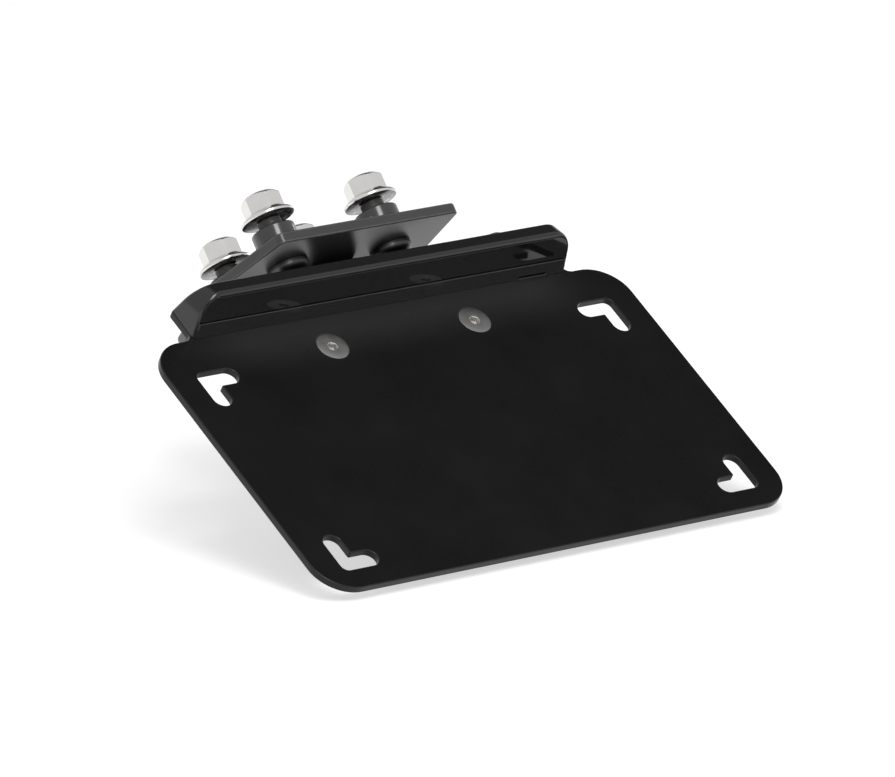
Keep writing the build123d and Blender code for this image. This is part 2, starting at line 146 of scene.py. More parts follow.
class TidySizes(bpy.types.PropertyGroup):
    edge_softness: bpy.props.FloatProperty(
        name="Edge softness", description="Width of the rounding that the coating leaves on cut edges",
        default=0.00032, min=0.0, soft_max=0.001, unit="LENGTH")
    rear_spacing: bpy.props.FloatProperty(
        name="Rear studs", description="Distance between the studs of the rear pair", default=0.0393,
        unit="LENGTH")
    front_spacing: bpy.props.FloatProperty(
        name="Front studs", description="Distance between the studs of the front pair", default=0.0297,
        unit="LENGTH")
    plate_screw_spacing: bpy.props.FloatProperty(
        name="Plate screws", description="Distance between the countersunk screws", default=0.0544,
        unit="LENGTH")
    nut_flats: bpy.props.FloatProperty(
        name="Nut across flats", description="Width of the hexagon of each flanged nut", default=0.0110,
        unit="LENGTH")
    thread_pitch: bpy.props.FloatProperty(
        name="Thread pitch", description="Distance between two turns of the stud's thread", default=0.0005,
        unit="LENGTH")


class TidyFinish(bpy.types.PropertyGroup):
    holder_colour: bpy.props.FloatVectorProperty(
        name="Holder colour", description="Colour of the holder's deep black coat", subtype="COLOR", size=3,
        default=(0.0042, 0.0042, 0.0043), min=0.0, max=1.0)
    coat_colour: bpy.props.FloatVectorProperty(
        name="Coat colour", description="Colour of the black powder coat", subtype="COLOR", size=3,
        default=(0.0105, 0.0105, 0.0108), min=0.0, max=1.0)
    steel_colour: bpy.props.FloatVectorProperty(
        name="Nut colour", description="Colour of the bright steel of the nuts", subtype="COLOR", size=3,
        default=(0.80, 0.79, 0.77), min=0.0, max=1.0)
    oxide_colour: bpy.props.FloatVectorProperty(
        name="Bolt colour", description="Colour of the dark steel of the bolts", subtype="COLOR", size=3,
        default=(0.09, 0.09, 0.092), min=0.0, max=1.0)
    cover_colour: bpy.props.FloatVectorProperty(
        name="Cover colour", description="Colour of the smoked cover of the light", subtype="COLOR", size=3,
        default=(0.006, 0.006, 0.0065), min=0.0, max=1.0)
    coat_roughness: bpy.props.FloatProperty(
        name="Coat roughness", description="Roughness of the powder coat", default=0.34, min=0.0, max=1.0,
        subtype="FACTOR")
    # Painted sheen: how strongly a painted lighter band lightens the holder below the hood
    painted_sheen: bpy.props.FloatProperty(
        name="Painted sheen below the hood", description="How much the painted sheen lightens the holder below the hood",
        default=0.21, min=0.0, max=1.0, subtype="FACTOR")


class TidyStage(bpy.types.PropertyGroup):
    world_level: bpy.props.FloatProperty(
        name="Surroundings", description="Brightness of the surroundings that light the object", default=0.75,
        min=0.0, soft_max=1.0)
    dark_level: bpy.props.FloatProperty(
        name="Dark part", description="Brightness of the dark part of the surroundings, high on the right",
        default=0.05, min=0.0, soft_max=1.0)
    key_power: bpy.props.FloatProperty(
        name="Key light", description="Power of the soft light above", default=15.0, min=0.0, unit="POWER")
    floor_colour: bpy.props.FloatVectorProperty(
        name="Floor colour", description="Colour of the floor", subtype="COLOR", size=3,
        default=(0.56, 0.56, 0.56), min=0.0, max=1.0)


# Shader helpers

def new_group(name, inputs, outputs):
    group = bpy.data.node_groups.new(name, "ShaderNodeTree")
    for label, kind, value in inputs:
        socket = group.interface.new_socket(name=label, in_out="INPUT", socket_type=kind)
        if value is not None:
            socket.default_value = value
    for label, kind in outputs:
        group.interface.new_socket(name=label, in_out="OUTPUT", socket_type=kind)
    return group, group.nodes.new("NodeGroupInput"), group.nodes.new("NodeGroupOutput")


def feed_inputs(tree, node, feeds):
    """Fills in inputs of a node; a feed is an input's name or number with a value or an output socket."""
    for key, value in feeds:
        if isinstance(value, bpy.types.NodeSocket):
            tree.links.new(value, node.inputs[key])
        else:
            node.inputs[key].default_value = value
    return node


def add_node(tree, kind, feeds=(), **settings):
    node = tree.nodes.new(kind)
    for key, value in settings.items():
        setattr(node, key, value)
    return feed_inputs(tree, node, feeds)


def coat_texture_group():
    """Orange peel of a sprayed coat: height for a bump, and a slow mask for roughness."""
    group, start, end = new_group(
        "Coat texture",
        [("Vector", "NodeSocketVector", None), ("Grain size", "NodeSocketFloat", 0.0006),
         ("Cloud size", "NodeSocketFloat", 0.03)],
        [("Height", "NodeSocketFloat"), ("Cloud", "NodeSocketFloat")])
    fine = add_node(group, "ShaderNodeMath", [(0, 1.0), (1, start.outputs["Grain size"])], operation="DIVIDE")
    slow = add_node(group, "ShaderNodeMath", [(0, 1.0), (1, start.outputs["Cloud size"])], operation="DIVIDE")
    peel = add_node(group, "ShaderNodeTexNoise", [
        ("Vector", start.outputs["Vector"]), ("Scale", fine.outputs[0]), ("Detail", 3.0),
        ("Roughness", 0.45)])
    cloud = add_node(group, "ShaderNodeTexNoise", [
        ("Vector", start.outputs["Vector"]), ("Scale", slow.outputs[0]), ("Detail", 4.0), ("Roughness", 0.6)])
    group.links.new(peel.outputs["Fac"], end.inputs["Height"])
    group.links.new(cloud.outputs["Fac"], end.inputs["Cloud"])
    return group


def edge_mark_group():
    """Mask of the marked faces, broken up by noise: on a coat its rounded edges, lightened partly as rubbed
    coat and partly as painted highlight; on steel the faces that take a second colour.
    """
    group, start, end = new_group(
        "Edge marks",
        [("Vector", "NodeSocketVector", None), ("Amount", "NodeSocketFloat", 0.5),
         ("Break size", "NodeSocketFloat", 0.004)],
        [("Mark", "NodeSocketFloat")])
    edge = add_node(group, "ShaderNodeAttribute", attribute_name=EDGE_MARK)
    rate = add_node(group, "ShaderNodeMath", [(0, 1.0), (1, start.outputs["Break size"])], operation="DIVIDE")
    breaks = add_node(group, "ShaderNodeTexNoise", [
        ("Vector", start.outputs["Vector"]), ("Scale", rate.outputs[0]), ("Detail", 3.0)])
    broken = add_node(group, "ShaderNodeMath", [(0, edge.outputs["Fac"]), (1, breaks.outputs["Fac"])],
                      operation="MULTIPLY")
    amount = add_node(group, "ShaderNodeMath", [(0, broken.outputs[0]), (1, start.outputs["Amount"])],
                      operation="MULTIPLY")
    group.links.new(amount.outputs[0], end.inputs["Mark"])
    return group


def metal_grain_group():
    """Fine turned or brushed grain: height and a mask that varies the roughness."""
    group, start, end = new_group(
        "Metal grain",
        [("Vector", "NodeSocketVector", None), ("Grain size", "NodeSocketFloat", 0.0004),
         ("Stretch", "NodeSocketFloat", 6.0)],
        [("Height", "NodeSocketFloat"), ("Mask", "NodeSocketFloat")])
    across = add_node(group, "ShaderNodeCombineXYZ", [(0, 1.0), (1, 1.0), (2, start.outputs["Stretch"])])
    stretched = add_node(group, "ShaderNodeVectorMath", [
        (0, start.outputs["Vector"]), (1, across.outputs[0])], operation="MULTIPLY")
    rate = add_node(group, "ShaderNodeMath", [(0, 1.0), (1, start.outputs["Grain size"])], operation="DIVIDE")
    grain = add_node(group, "ShaderNodeTexNoise", [
        ("Vector", stretched.outputs[0]), ("Scale", rate.outputs[0]), ("Detail", 2.0)])
    blotch = add_node(group, "ShaderNodeTexNoise", [
        ("Vector", start.outputs["Vector"]), ("Scale", 260.0), ("Detail", 3.0)])
    group.links.new(grain.outputs["Fac"], end.inputs["Height"])
    group.links.new(blotch.outputs["Fac"], end.inputs["Mask"])
    return group


GROUPS = {}


def shared_group(name):
    makers = {"coat": coat_texture_group, "marking": edge_mark_group, "grain": metal_grain_group}
    if name not in GROUPS:
        GROUPS[name] = makers[name]()
    return GROUPS[name]


def new_material(name, **constants):
    """Material with a Principled BSDF whose constant values are set on its own sockets."""
    material = bpy.data.materials.new(name)
    material.use_nodes = True
    shader = material.node_tree.nodes["Principled BSDF"]
    for key, value in constants.items():
        shader.inputs[key.replace("_", " ")].default_value = value
    return material, material.node_tree, shader


def object_vector(tree):
    return add_node(tree, "ShaderNodeTexCoord").outputs["Object"]


def place_group(tree, name, feeds):
    node = tree.nodes.new("ShaderNodeGroup")
    node.node_tree = shared_group(name)
    return feed_inputs(tree, node, feeds)


def add_bump(tree, shader, height, strength, distance):
    bump = add_node(tree, "ShaderNodeBump", [
        ("Strength", strength), ("Distance", distance), ("Height", height)])
    tree.links.new(bump.outputs["Normal"], shader.inputs["Normal"])


def roughness_from(tree, shader, mask, low, high):
    spread = add_node(tree, "ShaderNodeMapRange", [
        ("Value", mask), ("From Min", NOISE_LOW), ("From Max", NOISE_HIGH),
        ("To Min", low), ("To Max", high)])
    tree.links.new(spread.outputs[0], shader.inputs["Roughness"])


def opaque(colour):
    """Adds the alpha that a colour input wants; an output socket stays as it is."""
    return colour if isinstance(colour, bpy.types.NodeSocket) else (*colour, 1.0)


def mix_colours(tree, factor, first, second):
    """Mixes two colours; a mix node's first, seventh and eighth inputs are its factor and two colours."""
    mix = add_node(tree, "ShaderNodeMix", data_type="RGBA")
    feed_inputs(tree, mix, [(0, factor), (6, opaque(first)), (7, opaque(second))])
    return mix.outputs[2]


def shade(colour, share):
    return tuple(channel * share for channel in colour)


def painted_sheen_mask(tree, where, amount):
    """Soft band of painted sheen below the holder's top edge that fades out towards its sides."""
    face = face_matrix()
    up = face.to_3x3() @ Vector((0, 1, 0))
    edge = face.translation.dot(up)
    along = add_node(tree, "ShaderNodeVectorMath", [(0, where), (1, up)], operation="DOT_PRODUCT")
    band = add_node(tree, "ShaderNodeMapRange", [
        ("Value", along.outputs["Value"]), ("From Min", edge - SHEEN_TO), ("From Max", edge - SHEEN_FROM)],
        interpolation_type="SMOOTHSTEP")
    side = add_node(tree, "ShaderNodeSeparateXYZ", [(0, where)])
    away = add_node(tree, "ShaderNodeMath", [(0, side.outputs[0])], operation="ABSOLUTE")
    within = add_node(tree, "ShaderNodeMapRange", [
        ("Value", away.outputs[0]), ("From Min", SHEEN_HALF), ("From Max", SHEEN_FULL_HALF)],
        interpolation_type="SMOOTHSTEP")
    both = add_node(tree, "ShaderNodeMath", [(0, band.outputs[0]), (1, within.outputs[0])],
                    operation="MULTIPLY")
    share = add_node(tree, "ShaderNodeMath", [(0, both.outputs[0]), (1, amount)], operation="MULTIPLY")
    return share.outputs[0]


def coat_material(name, colour, roughness, peel_strength=0.25, gloss=0.5, painted_sheen=0.0):
    """Black powder coat with orange peel, slow clouds and slightly lighter edges, partly rubbed coat and
    partly painted highlight.
    """
    material, tree, shader = new_material(name, Specular_IOR_Level=gloss, IOR=1.5)
    where = object_vector(tree)
    coat = place_group(tree, "coat", [("Vector", where), ("Grain size", 0.0007), ("Cloud size", 0.035)])
    marking = place_group(tree, "marking", [("Vector", where), ("Amount", 0.6), ("Break size", 0.003)])
    clouded = mix_colours(tree, coat.outputs["Cloud"], shade(colour, 0.85), shade(colour, 1.2))
    # Rounded edges up to five times lighter: partly rubbed coat, partly a painted highlight where the edges
    # catch light
    mark_colour = mix_colours(tree, marking.outputs["Mark"], clouded, shade(colour, 5))
    # Painted sheen: a lighter band below the hood, painted into the coat's colour
    if painted_sheen:
        mark_colour = mix_colours(tree, painted_sheen_mask(tree, where, painted_sheen), mark_colour, PAINTED_SHEEN_COLOUR)
    tree.links.new(mark_colour, shader.inputs["Base Color"])
    roughness_from(tree, shader, coat.outputs["Cloud"], roughness - 0.04, roughness + 0.05)
    add_bump(tree, shader, coat.outputs["Height"], peel_strength, PEEL_DEPTH)
    return material


def metal_material(name, colour, roughness, metallic=1.0, bump=0.15, marking=0.3, mark_colour=None):
    """Steel with fine grain and a blotchy roughness, and a second colour on its marked faces: painted shade
    on the nut seats, a lighter colour on the screw sockets, lighter steel where none is given.
    """
    material, tree, shader = new_material(name, Metallic=metallic)
    where = object_vector(tree)
    marks = place_group(tree, "grain", [("Vector", where), ("Grain size", 0.0003), ("Stretch", 1.0)])
    mark_mask = place_group(tree, "marking", [("Vector", where), ("Amount", marking), ("Break size", 0.0015)])
    blotched = mix_colours(tree, marks.outputs["Mask"], shade(colour, 0.93), colour)
    marked_face_colour = mark_colour or tuple(min(1.0, channel * 1.6 + 0.03) for channel in colour)
    marked_base = mix_colours(tree, mark_mask.outputs["Mark"], blotched, marked_face_colour)
    tree.links.new(marked_base, shader.inputs["Base Color"])
    roughness_from(tree, shader, marks.outputs["Mask"], roughness - 0.04, roughness + 0.06)
    add_bump(tree, shader, marks.outputs["Height"], bump, GRAIN_DEPTH)
    return material


def plastic_material(name, colour, roughness, coat_weight=0.0, peel=0.1):
    """Moulded plastic or rubber with a slow change of roughness."""
    material, tree, shader = new_material(name, Coat_Weight=coat_weight, Coat_Roughness=0.06)
    where = object_vector(tree)
    skin = place_group(tree, "coat", [("Vector", where), ("Grain size", 0.0009), ("Cloud size", 0.02)])
    tint = mix_colours(tree, skin.outputs["Cloud"], shade(colour, 0.85), shade(colour, 1.15))
    tree.links.new(tint, shader.inputs["Base Color"])
    roughness_from(tree, shader, skin.outputs["Cloud"], max(0.03, roughness - 0.03), roughness + 0.04)
    add_bump(tree, shader, skin.outputs["Height"], peel, GRAIN_DEPTH)
    return material


# Mesh helpers

def mesh_object(name, mesh):
    item = bpy.data.objects.new(name, mesh)
    bpy.context.scene.collection.objects.link(item)
    return item


def plain_mesh(item):
    """Replaces the object's mesh by its evaluated one and removes its modifiers."""
    graph = bpy.context.evaluated_depsgraph_get()
    graph.update()
    result = bpy.data.meshes.new_from_object(
        item.evaluated_get(graph), preserve_all_data_layers=True, depsgraph=graph)
    item.modifiers.clear()
    item.data = result
    result.name = item.name
    return item


def finish_piece(item, replaced):
    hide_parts(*replaced)
    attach(item, "root")


def softened(node, name, width, segments=3, angle=28.0):
    """A merged copy of a CAD node with its sharp edges rounded by the width."""
    mesh = bpy.data.meshes.new(name)
    work = bmesh.new()
    work.from_mesh(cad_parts[node].data)
    bmesh.ops.remove_doubles(work, verts=work.verts, dist=MERGE_DISTANCE)
    bmesh.ops.dissolve_limit(work, angle_limit=radians(FLAT_ANGLE), verts=work.verts, edges=work.edges)
    work.to_mesh(mesh)
    work.free()
    mesh.materials.clear()
    for own_or_bevel in range(2):
        mesh.materials.append(None)
    item = mesh_object(name, mesh)
    mesh.shade_smooth()
    if width:
        bevel = item.modifiers.new("Soft edges", "BEVEL")
        bevel.width = width
        bevel.segments = segments
        bevel.limit_method = "ANGLE"
        bevel.angle_limit = radians(angle)
        bevel.use_clamp_overlap = False
        bevel.miter_outer = "MITER_ARC"
        bevel.material = 1
    else:
        mesh.set_sharp_from_angle(angle=radians(angle + SHARP_MARGIN))
    weighted = item.modifiers.new("Flat faces stay flat", "WEIGHTED_NORMAL")
    weighted.keep_sharp = True
    weighted.weight = 100
    plain_mesh(item)
    mark_edges(item.data)
    flatten_large_faces(item.data)
    return item


def flatten_large_faces(mesh):
    """Gives the corners of large flat faces the face's own normal, so that they shade evenly."""
    normals = [Vector(normal.vector) for normal in mesh.corner_normals]
    for face in mesh.polygons:
        if face.area > LARGE_FACE:
            for corner in face.loop_indices:
                normals[corner] = face.normal.copy()
    mesh.normals_split_custom_set(normals)


def mark_edges(mesh):
    """Stores which faces the bevel made, for the lightened edges, and gives all faces the first material."""
    made_by_bevel = [float(face.material_index) for face in mesh.polygons]
    mark = mesh.attributes.new(EDGE_MARK, "FLOAT", "FACE")
    mark.data.foreach_set("value", made_by_bevel)
    for face in mesh.polygons:
        face.material_index = 0


def hexagon(flats, corner_radius, turn=0.0):
    """Radius of a hexagon with rounded corners, as a function of the angle."""
    half = flats / 2
    centre = (half - corner_radius) / cos(pi / 6)
    limit = atan(centre * sin(pi / 6) / half)

    def radius(angle):
        from_flat = (angle - turn + pi / 6) % (pi / 3) - pi / 6
        if abs(from_flat) <= limit:
            return half / cos(from_flat)
        from_corner = pi / 6 - abs(from_flat)
        return centre * cos(from_corner) + sqrt(corner_radius ** 2 - (centre * sin(from_corner)) ** 2)
    return radius


def round_corner(before, corner, after, radius, steps=4):
    """Profile points that round one corner of a half profile."""
    a = Vector(before) - Vector(corner)
    b = Vector(after) - Vector(corner)
    half = a.angle(b) / 2
    reach = min(radius / tan(half), a.length * 0.49, b.length * 0.49)
    radius = reach * tan(half)
    centre = Vector(corner) + (a.normalized() + b.normalized()).normalized() * (radius / sin(half))
    start = Vector(corner) + a.normalized() * reach - centre
    end = Vector(corner) + b.normalized() * reach - centre
    turn = start.angle_signed(end)
    points = []
    for step in range(steps + 1):
        spoke = start.copy()
        spoke.rotate(Matrix.Rotation(-turn * step / steps, 2))
        points.append(tuple(centre + spoke))
    return points


def spun_mesh(name, rings, segments=96, closed=False):
    """Solid of revolution about Z. A ring is (radius, height), each a number or a function of the angle."""
    work = bmesh.new()
    rows = []
    for radius, height in rings:
        if radius == 0:
            rows.append([work.verts.new((0, 0, height))])
            continue
        row = []
        for index in range(segments):
            angle = 2 * pi * index / segments
            r = radius(angle) if callable(radius) else radius
            z = height(angle) if callable(height) else height
            row.append(work.verts.new((r * cos(angle), r * sin(angle), z)))
        rows.append(row)
    if closed:
        rows.append(rows[0])
    for low, high in zip(rows, rows[1:]):
        for index in range(segments):
            after = (index + 1) % segments
            if len(low) == 1:
                work.faces.new((low[0], high[after], high[index]))
            elif len(high) == 1:
                work.faces.new((low[index], low[after], high[0]))
            else:
                work.faces.new((low[index], low[after], high[after], high[index]))
    bmesh.ops.recalc_face_normals(work, faces=work.faces)
    mesh = bpy.data.meshes.new(name)
    work.to_mesh(mesh)
    work.free()
    mesh.shade_smooth()
    mesh.set_sharp_from_angle(angle=radians(32))
    return mesh


# Geometry Nodes: pairs of fasteners on the two rows

def pattern_tree():
    """Puts copies of the mesh on a front and a rear pair, turned with the frame they stand in."""
    tree = bpy.data.node_groups.new("Fastener pairs", "GeometryNodeTree")
    tree.is_modifier = True
    sockets = [("Geometry", "NodeSocketGeometry"), ("Rear spacing", "NodeSocketFloat"),
               ("Front spacing", "NodeSocketFloat"), ("Rear place", "NodeSocketVector"),
               ("Front place", "NodeSocketVector"), ("Lean", "NodeSocketFloat"),
               ("Both rows", "NodeSocketBool"), ("Seed", "NodeSocketInt"), ("Turn", "NodeSocketFloat"),
               ("Material", "NodeSocketMaterial")]
    for label, kind in sockets:
        tree.interface.new_socket(name=label, in_out="INPUT", socket_type=kind)
    tree.interface.new_socket(name="Geometry", in_out="OUTPUT", socket_type="NodeSocketGeometry")
    start = tree.nodes.new("NodeGroupInput")
    end = tree.nodes.new("NodeGroupOutput")
    lean = add_node(tree, "ShaderNodeCombineXYZ", [(0, start.outputs["Lean"])])
    lines = []
    for row in ("Rear", "Front"):
        half = add_node(tree, "ShaderNodeMath", [(0, start.outputs[row + " spacing"]), (1, 0.5)],
                        operation="MULTIPLY")
        negative = add_node(tree, "ShaderNodeMath", [(0, half.outputs[0]), (1, -1.0)], operation="MULTIPLY")
        left = add_node(tree, "ShaderNodeCombineXYZ", [(0, negative.outputs[0])])
        right = add_node(tree, "ShaderNodeCombineXYZ", [(0, start.outputs[row + " spacing"])])
        place = add_node(tree, "ShaderNodeVectorMath", [
            (0, left.outputs[0]), (1, start.outputs[row + " place"])], operation="ADD")
        line = add_node(tree, "GeometryNodeMeshLine", [
            ("Count", 2), ("Start Location", place.outputs[0]), ("Offset", right.outputs[0])])
        lines.append(line.outputs[0])
    switch = add_node(tree, "GeometryNodeSwitch", [
        ("Switch", start.outputs["Both rows"]), ("True", lines[1])], input_type="GEOMETRY")
    joined = tree.nodes.new("GeometryNodeJoinGeometry")
    tree.links.new(switch.outputs[0], joined.inputs[0])
    tree.links.new(lines[0], joined.inputs[0])
    spin = add_node(tree, "FunctionNodeRandomValue", [("Seed", start.outputs["Seed"])], data_type="FLOAT")
    turned = add_node(tree, "ShaderNodeMath", [(0, spin.outputs[1]), (1, start.outputs["Turn"])],
                      operation="MULTIPLY")
    own_turn = add_node(tree, "ShaderNodeCombineXYZ", [(2, turned.outputs[0])])
    place_all = add_node(tree, "GeometryNodeInstanceOnPoints", [
        ("Points", joined.outputs[0]), ("Instance", start.outputs["Geometry"]),
        ("Rotation", own_turn.outputs[0])])
    leaned = add_node(tree, "GeometryNodeTransform", [
        ("Geometry", place_all.outputs[0]), ("Rotation", lean.outputs[0])])
    real = add_node(tree, "GeometryNodeRealizeInstances", [("Geometry", leaned.outputs[0])])
    painted = add_node(tree, "GeometryNodeSetMaterial", [
        ("Geometry", real.outputs[0]), ("Material", start.outputs["Material"])])
    tree.links.new(painted.outputs[0], end.inputs[0])
    return tree


TREES = {}


def mark_faces(mesh, chosen):
    """Marks the faces whose centre is chosen, so that they take the material's second colour."""
    mark = mesh.attributes.new(EDGE_MARK, "FLOAT", "FACE")
    mark.data.foreach_set("value", [float(chosen(face.center)) for face in mesh.polygons])


def patterned(name, mesh, material, values):
    """Runs the pairs tree over one fastener's mesh and keeps the result as a plain mesh."""
    if "pairs" not in TREES:
        TREES["pairs"] = pattern_tree()
    tree = TREES["pairs"]
    item = mesh_object(name, mesh)
    modifier = item.modifiers.new("Pairs", "NODES")
    modifier.node_group = tree
    values = dict(values, Material=material)
    for socket in tree.interface.items_tree:
        if socket.in_out == "INPUT" and socket.name in values:
            modifier[socket.identifier] = values[socket.name]
    plain_mesh(item)
    if not item.data.materials:
        item.data.materials.append(material)
    return item


def tail_values(sizes, rear_height, front_height):
    """Inputs of the pairs tree for something on the studs, heights in millimetres along them."""
    return {"Rear spacing": sizes.rear_spacing, "Front spacing": sizes.front_spacing,
            "Rear place": (0.0, -FRONT_ROW * MM, rear_height * MM),
            "Front place": (0.0, FRONT_ROW * MM, front_height * MM),
            "Lean": radians(HOLDER_TILT + STUD_LEAN) - pi / 2, "Both rows": True, "Seed": 3, "Turn": 0.0}


def face_values(sizes, up, out):
    """Inputs of the pairs tree for something on the holder, as a place in the holder's own frame."""
    turn = Matrix.Rotation(radians(HOLDER_TILT), 4, "X")
    edge = turn.inverted() @ face_matrix().translation
    place = (0.0, edge.y + up * MM, edge.z + out * MM)
    return {"Rear spacing": sizes.plate_screw_spacing, "Front spacing": sizes.plate_screw_spacing,
            "Rear place": place, "Front place": place, "Lean": radians(HOLDER_TILT), "Both rows": False,
            "Seed": 1, "Turn": 0.0}


# Fastener meshes, each standing on its seat with Z up the fastener

# A ring is a pair of radius and height in millimetres, and the small steps between rings round the corners

def nut_mesh(flats):
    """Flanged nut: flange, cone, hexagon with a chamfered crown, and the rim round the locking ring."""
    corner, height = flats / 2 / cos(pi / 6), 8.2
    flange, rim, cone_top = 8.4, 1.1, 2.1
    crown_drop, crown_in = 1.1, 1.6
    bore, ring, ring_depth = 3.1, 4.1, 2.2
    body = hexagon(flats, 0.15, radians(-17.5))

    def cone_height(radius):
        return rim + (flange - radius) * (cone_top - rim) / (flange - corner)

    def crown_height(radius):
        return height - max(0.0, radius - (corner - crown_in)) * crown_drop / crown_in

    seat = [(bore, 0.35), (bore + 0.35, 0.0), (flange - 0.3, 0.0), (flange - 0.09, 0.09), (flange, 0.3)]
    cone = [(flange, rim - 0.4), (flange - 0.1, rim - 0.12), (flange - 0.4, cone_height(flange - 0.4) - 0.02),
            (flange - 1.2, cone_height(flange - 1.2))]
    root = [(lambda a: body(a) + 0.25, lambda a: cone_height(body(a) + 0.25)),
            (lambda a: body(a) + 0.05, lambda a: cone_height(body(a)) + 0.08)]
    walls = [(body, lambda a: cone_height(body(a)) + 0.3), (body, lambda a: cone_height(body(a)) + 0.42),
             (body, lambda a: crown_height(body(a)) - 0.3), (body, lambda a: crown_height(body(a)) - 0.16)]
    crown = [(lambda a: body(a) - 0.06, lambda a: crown_height(body(a)) - 0.03),
             (lambda a: body(a) - 0.2, lambda a: crown_height(body(a)) + 0.08),
             (corner - crown_in + 0.05, height - 0.05), (corner - crown_in - 0.1, height)]
    mouth = [(ring + 0.06, height - 0.06), (ring, height - 0.25), (ring, height - ring_depth),
             (bore, height - ring_depth)]
    rings = seat + cone + root + walls + crown + mouth
    mesh = spun_mesh("flange_nut", scale_rings(rings), segments=288, closed=True)
    # The seat faces under the flange are marked for painted shade, a darker colour on the flange's underside
    mark_faces(mesh, lambda centre: centre.z < 0.02 * MM)
    return mesh


def in_metres(value):
    """Millimetres to metres, for a number or for a function of the angle."""
    if callable(value):
        return lambda angle: value(angle) * MM
    return value * MM


def scale_rings(rings):
    return [(in_metres(radius), in_metres(height)) for radius, height in rings]


def ring_mesh(name, profile, radius, segments=96):
    """Ring or tube from a closed half profile in millimetres, with softened corners."""
    loop = [profile[-1]] + profile + [profile[0]]
    points = []
    for before, corner, after in zip(loop, loop[1:], loop[2:]):
        points += round_corner(before, corner, after, radius, steps=3)
    return spun_mesh(name, scale_rings(points), segments=segments, closed=True)


def socket_rings(mouth_z, depth, flats, direction):
    """Rings of a hexagon socket from its mouth to its conical bottom."""
    wall = hexagon(flats, 0.12)
    bottom = mouth_z + direction * depth
    return [(lambda a: wall(a) + 0.18, mouth_z), (wall, mouth_z + direction * 0.18), (wall, bottom),
            (flats * 0.3, bottom + direction * 0.12), (0, bottom + direction * 0.5)]


def head_mesh(name, rings):
    return spun_mesh(name, scale_rings(rings))


def dome_rings(rim, crown, edge, depth, steps, out_power=1.0, down_power=1.0):
    """Rings of a dome that hangs from its edge, from the rim down to the flat round its socket."""
    rings = []
    for step in range(1, steps + 1):
        turn = pi / 2 * step / steps
        out, down = cos(turn) ** out_power, sin(turn) ** down_power
        rings.append((crown + (rim - crown) * out, -edge - depth * down))
    return rings


def button_head_mesh():
    """Domed bolt head that hangs below its seat, with a hexagon socket."""
    radius, height, edge, mouth = 6.45, 3.9, 0.9, 2.75
    rings = [(0, 0.0), (radius - 0.15, 0.0), (radius, -0.15), (radius, -edge)]
    rings += dome_rings(radius, mouth, edge, height - edge, 10, out_power=0.9, down_power=1.1)
    rings += socket_rings(-height, 2.2, 4.0, 1)
    return head_mesh("bolt_head", rings)


def shank_mesh(pitch, low):
    """Stud: plain below, with a cut thread up to the nut's seat, and a chamfered end."""
    core, crest, stem, stem_low = 3.5, 3.7, 2.98, 3.3
    plain, ridge = crest - 0.05, crest - 0.02
    rings = [(0, low), (plain, low), (plain, THREAD_BOTTOM)]
    z = THREAD_BOTTOM
    while z + pitch < THREAD_TOP:
        rings += [(core, z + pitch * 0.12), (ridge, z + pitch * 0.5), (ridge, z + pitch * 0.62)]
        z += pitch
    rings += [(core, z), (stem, stem_low), (stem, STUD_END - 0.45), (stem - 0.42, STUD_END - 0.02),
              (stem - 0.5, STUD_END), (0, STUD_END)]
    return spun_mesh("stud", scale_rings(rings), segments=72)


def countersunk_mesh(end):
    """Countersunk screw, flush with its seat, with a hexagon socket whose faces are marked."""
    shank, head, cone, cone_root = 2.5, 5.12, 5.08, -2.72
    socket_mouth, socket_reach, socket_low = 2.1, 1.75, -2.2
    rings = [(0, end), (shank - 0.3, end), (shank, end + 0.3), (shank, cone_root), (cone, -0.14),
             (head, -0.04), (head - 0.12, 0.0), (socket_mouth, 0.0)]
    mesh = head_mesh("plate_screw", rings + socket_rings(0.0, 1.6, 3.0, -1))
    # The socket's faces are marked for a lighter second colour
    mark_faces(mesh, lambda centre: centre.xy.length < socket_reach * MM and centre.z > socket_low * MM)
    return mesh


def small_screw_mesh():
    """Small domed screw: its shank stands up through the sheet and its head hangs below."""
    shank, end, head, edge, crown = 1.95, 6.6, 3.8, 0.8, 1.9
    depth = 1.4
    rings = [(0, end), (shank - 0.25, end), (shank, end - 0.3), (shank, 0.0), (head - 0.1, 0.0),
             (head, -0.12), (head, -edge)]
    rings += dome_rings(head, crown, edge, depth, 8)
    rings += socket_rings(-edge - depth, 1.1, 2.5, 1)
    return head_mesh("hood_screw", rings)


def plain_nut_mesh(flats, height):
    """Plain hexagon nut that hangs below its seat, with chamfered corners and bore."""
    body, bore, mouth, chamfer = hexagon(flats, 0.3), 2.6, 2.9, 0.35
    rings = [(lambda a: body(a) - chamfer, 0.0), (body, -0.25), (body, -height + 0.25),
             (lambda a: body(a) - chamfer, -height), (mouth, -height), (bore, -height + 0.3),
             (bore, -0.3), (mouth, 0.0)]
    return spun_mesh("plate_nut", scale_rings(rings), closed=True)


def square_ring_mesh(name, inner, outer, low, high, radius, segments=96):
    return ring_mesh(name, [(inner, low), (outer, low), (outer, high), (inner, high)], radius, segments)


def paint(item, material):
    item.data.materials.clear()
    item.data.materials.append(material)


# Operators

class TIDY_OT_holder(bpy.types.Operator):
    """Number-plate holder: one flat sheet with L slots, coated black"""
    bl_idname = "tidy.holder"
    bl_label = "Holder"

    def execute(self, context):
        sizes, finish = context.scene.tidy_sizes, context.scene.tidy_finish
        holder = softened("plate_holder", "holder_sheet", sizes.edge_softness)
        # The holder's coat carries the painted sheen below the hood
        coat = coat_material("Holder coat", finish.holder_colour, finish.coat_roughness - 0.06,
                             peel_strength=0.03, gloss=0.3, painted_sheen=finish.painted_sheen)
        paint(holder, coat)
        finish_piece(holder, ["plate_holder"])
        return {"FINISHED"}


